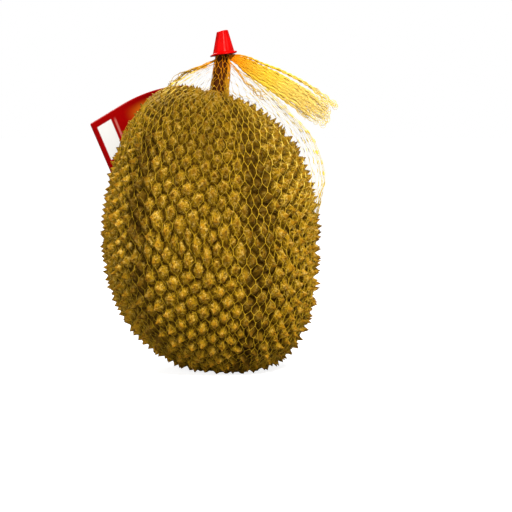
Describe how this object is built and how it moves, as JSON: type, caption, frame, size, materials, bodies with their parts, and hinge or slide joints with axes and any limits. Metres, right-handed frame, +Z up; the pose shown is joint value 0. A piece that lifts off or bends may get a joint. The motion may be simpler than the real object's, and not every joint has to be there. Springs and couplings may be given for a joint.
{
  "type": "durian in a net bag",
  "caption": "Whole thorny durian standing on its flat base, held in a knitted yellow net bag pinched on the stalk by a red cap, with a blank red label.",
  "frame": {"origin": "the middle of the small flat spot under the fruit, in the plane that it stands on", "axes": "+Z up the fruit to the stalk and cap, +X towards the net's free tail, -Y towards the side that shows the stalk in front of the label"},
  "size_m": [0.2192, 0.1968, 0.2991],
  "materials": {
    "husk_skin": "matte fibrous rind, olive gold with brown thorn tips",
    "stalk_bark": "rough brown bark",
    "net_yarn": "slightly translucent extruded yarn",
    "cap_plastic": "moulded, glossy",
    "label_card": "laminated card, semi-gloss"
  },
  "bodies": {
    "root": {"husk": "husk_skin", "stalk": "stalk_bark", "net_bag": "net_yarn", "closure_cap": "cap_plastic", "label": "label_card"}
  },
  "joints": []
}
